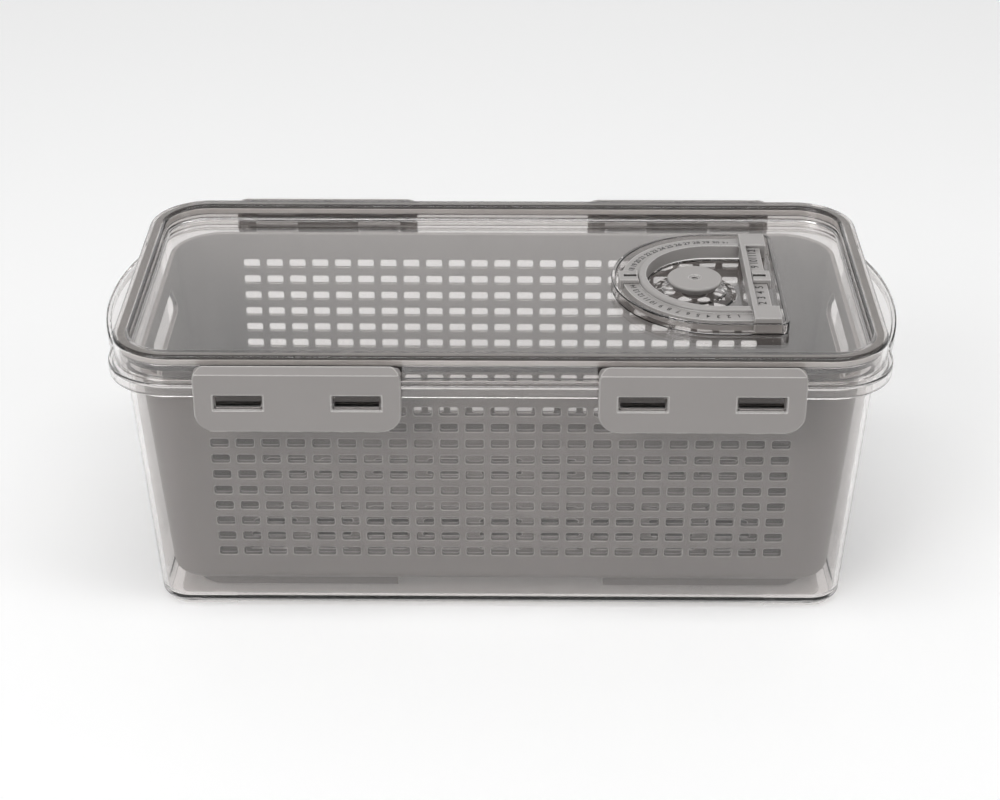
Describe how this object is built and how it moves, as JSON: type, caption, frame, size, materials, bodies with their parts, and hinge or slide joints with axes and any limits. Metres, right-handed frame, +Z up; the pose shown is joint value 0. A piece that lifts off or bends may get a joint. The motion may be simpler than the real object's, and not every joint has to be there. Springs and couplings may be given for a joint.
{
  "type": "fridge storage box",
  "caption": "Clear lidded fridge box with a slotted strainer basket, swing latches, end handles, a sealed lid, a date dial and a vent plug.",
  "frame": {"origin": "On the surface that the box stands on, under the middle of the box.", "axes": "+X along the length towards the date dial, +Y towards the back, +Z up."},
  "size_m": [0.3214, 0.16, 0.122],
  "materials": {
    "clear_container": "clear injection moulded, glossy",
    "clear_lid": "clear injection moulded, glossy",
    "grey_basket": "warm grey, satin moulded",
    "latch_plastic": "warm grey, satin moulded",
    "dial_plastic": "light warm grey, satin moulded",
    "seal_silicone": "grey translucent silicone",
    "vent_silicone": "light warm grey silicone"
  },
  "bodies": {
    "container": {"container": "clear_container"},
    "basket": {"basket": "grey_basket"},
    "lid": {"lid": "clear_lid", "lid_gasket": "seal_silicone", "date_dial": "dial_plastic"},
    "latch_front_left": {"latch_front_left": "latch_plastic"},
    "latch_front_right": {"latch_front_right": "latch_plastic"},
    "latch_back_left": {"latch_back_left": "latch_plastic"},
    "latch_back_right": {"latch_back_right": "latch_plastic"},
    "day_slider": {"day_slider": "dial_plastic"},
    "month_slider": {"month_slider": "dial_plastic"},
    "vent_plug": {"vent_plug": "vent_silicone"}
  },
  "joints": [
    {"name": "basket_lift", "type": "slide", "parent": "container", "child": "basket", "axis": [0, 0, 1], "range_m": [0, 0.118]},
    {"name": "lid_lift", "type": "slide", "parent": "basket", "child": "lid", "axis": [0, 0, 1], "range_m": [0, 0.15]},
    {"name": "latch_front_left_hinge", "type": "hinge", "parent": "lid", "child": "latch_front_left", "pos_m": [-0.077, -0.0775, 0.1171], "axis": [-1, 0, 0], "range_deg": [0, 120]},
    {"name": "latch_front_right_hinge", "type": "hinge", "parent": "lid", "child": "latch_front_right", "pos_m": [0.077, -0.0775, 0.1171], "axis": [-1, 0, 0], "range_deg": [0, 120]},
    {"name": "latch_back_left_hinge", "type": "hinge", "parent": "lid", "child": "latch_back_left", "pos_m": [-0.077, 0.0775, 0.1171], "axis": [1, 0, 0], "range_deg": [0, 120]},
    {"name": "latch_back_right_hinge", "type": "hinge", "parent": "lid", "child": "latch_back_right", "pos_m": [0.077, 0.0775, 0.1171], "axis": [1, 0, 0], "range_deg": [0, 120]},
    {"name": "day_slider_turn", "type": "hinge", "parent": "lid", "child": "day_slider", "pos_m": [0.087, 0, 0.1212], "axis": [0, 0, 1], "range_deg": [-84, 81]},
    {"name": "month_slider_slide", "type": "slide", "parent": "lid", "child": "month_slider", "axis": [0, 1, 0], "range_m": [-0.0226, 0.0239]},
    {"name": "vent_plug_pull", "type": "slide", "parent": "lid", "child": "vent_plug", "axis": [0, 0, 1], "range_m": [0, 0.002]}
  ]
}
